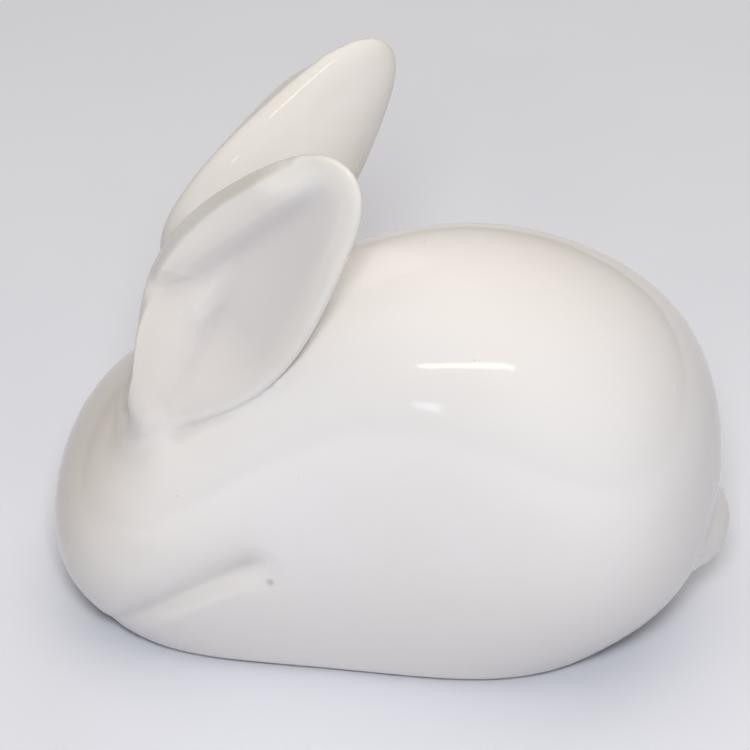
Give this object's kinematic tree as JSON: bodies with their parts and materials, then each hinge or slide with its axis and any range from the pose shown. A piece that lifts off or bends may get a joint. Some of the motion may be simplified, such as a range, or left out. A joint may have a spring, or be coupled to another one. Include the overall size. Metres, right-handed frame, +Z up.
{
  "type": "ceramic rabbit figurine",
  "caption": "Crouching rabbit ornament in white glazed ceramic, with a hollow egg-shaped body, large petal ears that lean back, and a small round tail.",
  "frame": {"origin": "on the table, under the middle of the figure's length and width", "axes": "-X to the nose, +X to the tail, -Y to the rabbit's own left side, +Z up"},
  "size_m": [0.15, 0.0776, 0.1285],
  "materials": {
    "glaze": "glossy warm white glaze over fired clay"
  },
  "bodies": {
    "root": {"body": "glaze", "ear_left": "glaze", "ear_right": "glaze", "tail": "glaze"}
  },
  "joints": []
}
